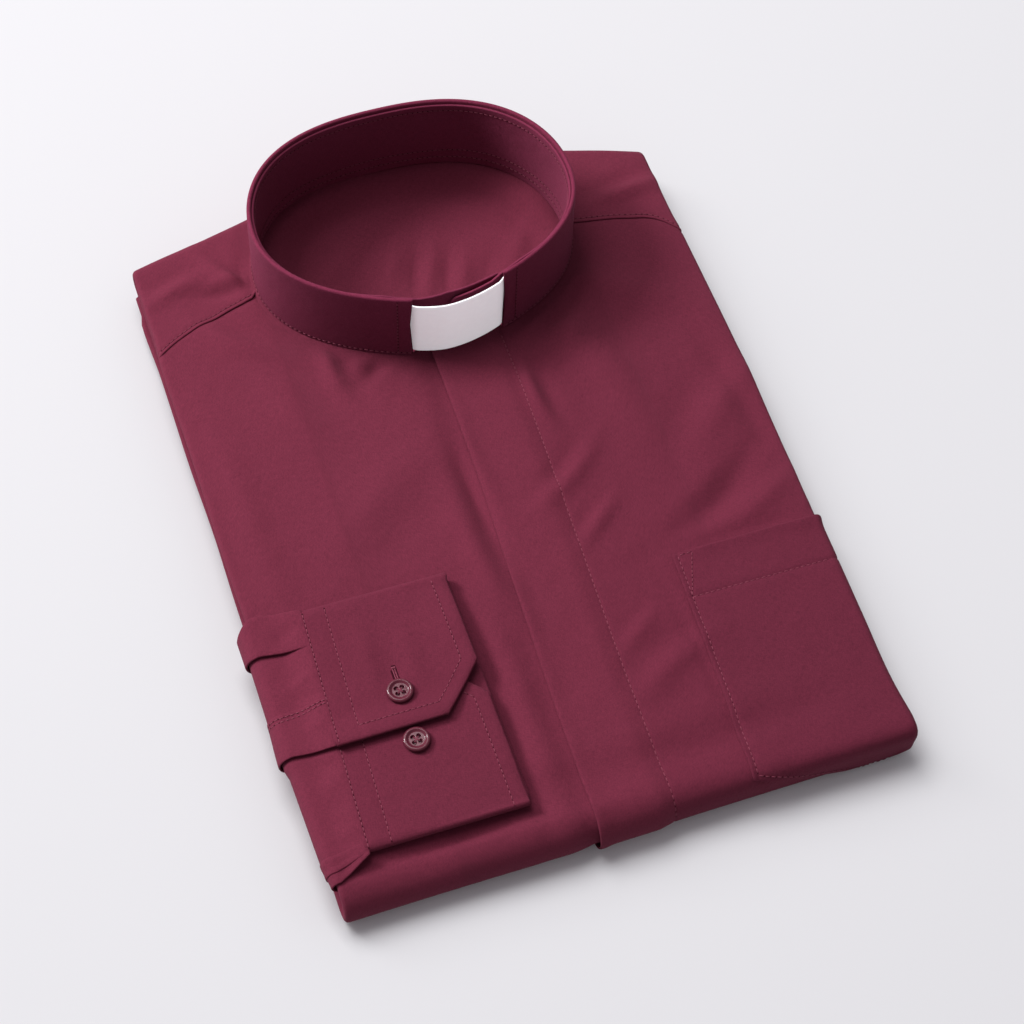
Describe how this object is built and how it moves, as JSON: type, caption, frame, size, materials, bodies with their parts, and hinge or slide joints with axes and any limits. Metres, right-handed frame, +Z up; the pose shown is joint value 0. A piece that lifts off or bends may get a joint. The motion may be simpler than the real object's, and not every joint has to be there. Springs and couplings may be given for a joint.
{
  "type": "clergy shirt",
  "caption": "Folded long-sleeved clergy shirt with a standing band collar, white insert, hidden fly, chest pocket and a cuff laid over the front.",
  "frame": {"origin": "centre of the footprint, on the surface that the folded shirt lies on", "axes": "+X to the wearer's left, +Y from the hem fold to the collar, +Z up from the surface"},
  "size_m": [0.2626, 0.3714, 0.0622],
  "materials": {
    "shirt_cloth": "matt plain weave cotton and polyester",
    "collar_insert": "satin white plastic",
    "cuff_button": "gloss dyed plastic"
  },
  "bodies": {
    "root": {"front_right": "shirt_cloth", "front_left": "shirt_cloth", "fly_placket": "shirt_cloth", "yoke": "shirt_cloth", "collar_band": "shirt_cloth", "collar_stand": "shirt_cloth", "collar_tab": "collar_insert", "pocket": "shirt_cloth", "sleeve_right": "shirt_cloth", "sleeve_placket": "shirt_cloth", "cuff": "shirt_cloth", "button_upper": "cuff_button", "button_lower": "cuff_button", "folded_layers": "shirt_cloth"}
  },
  "joints": []
}
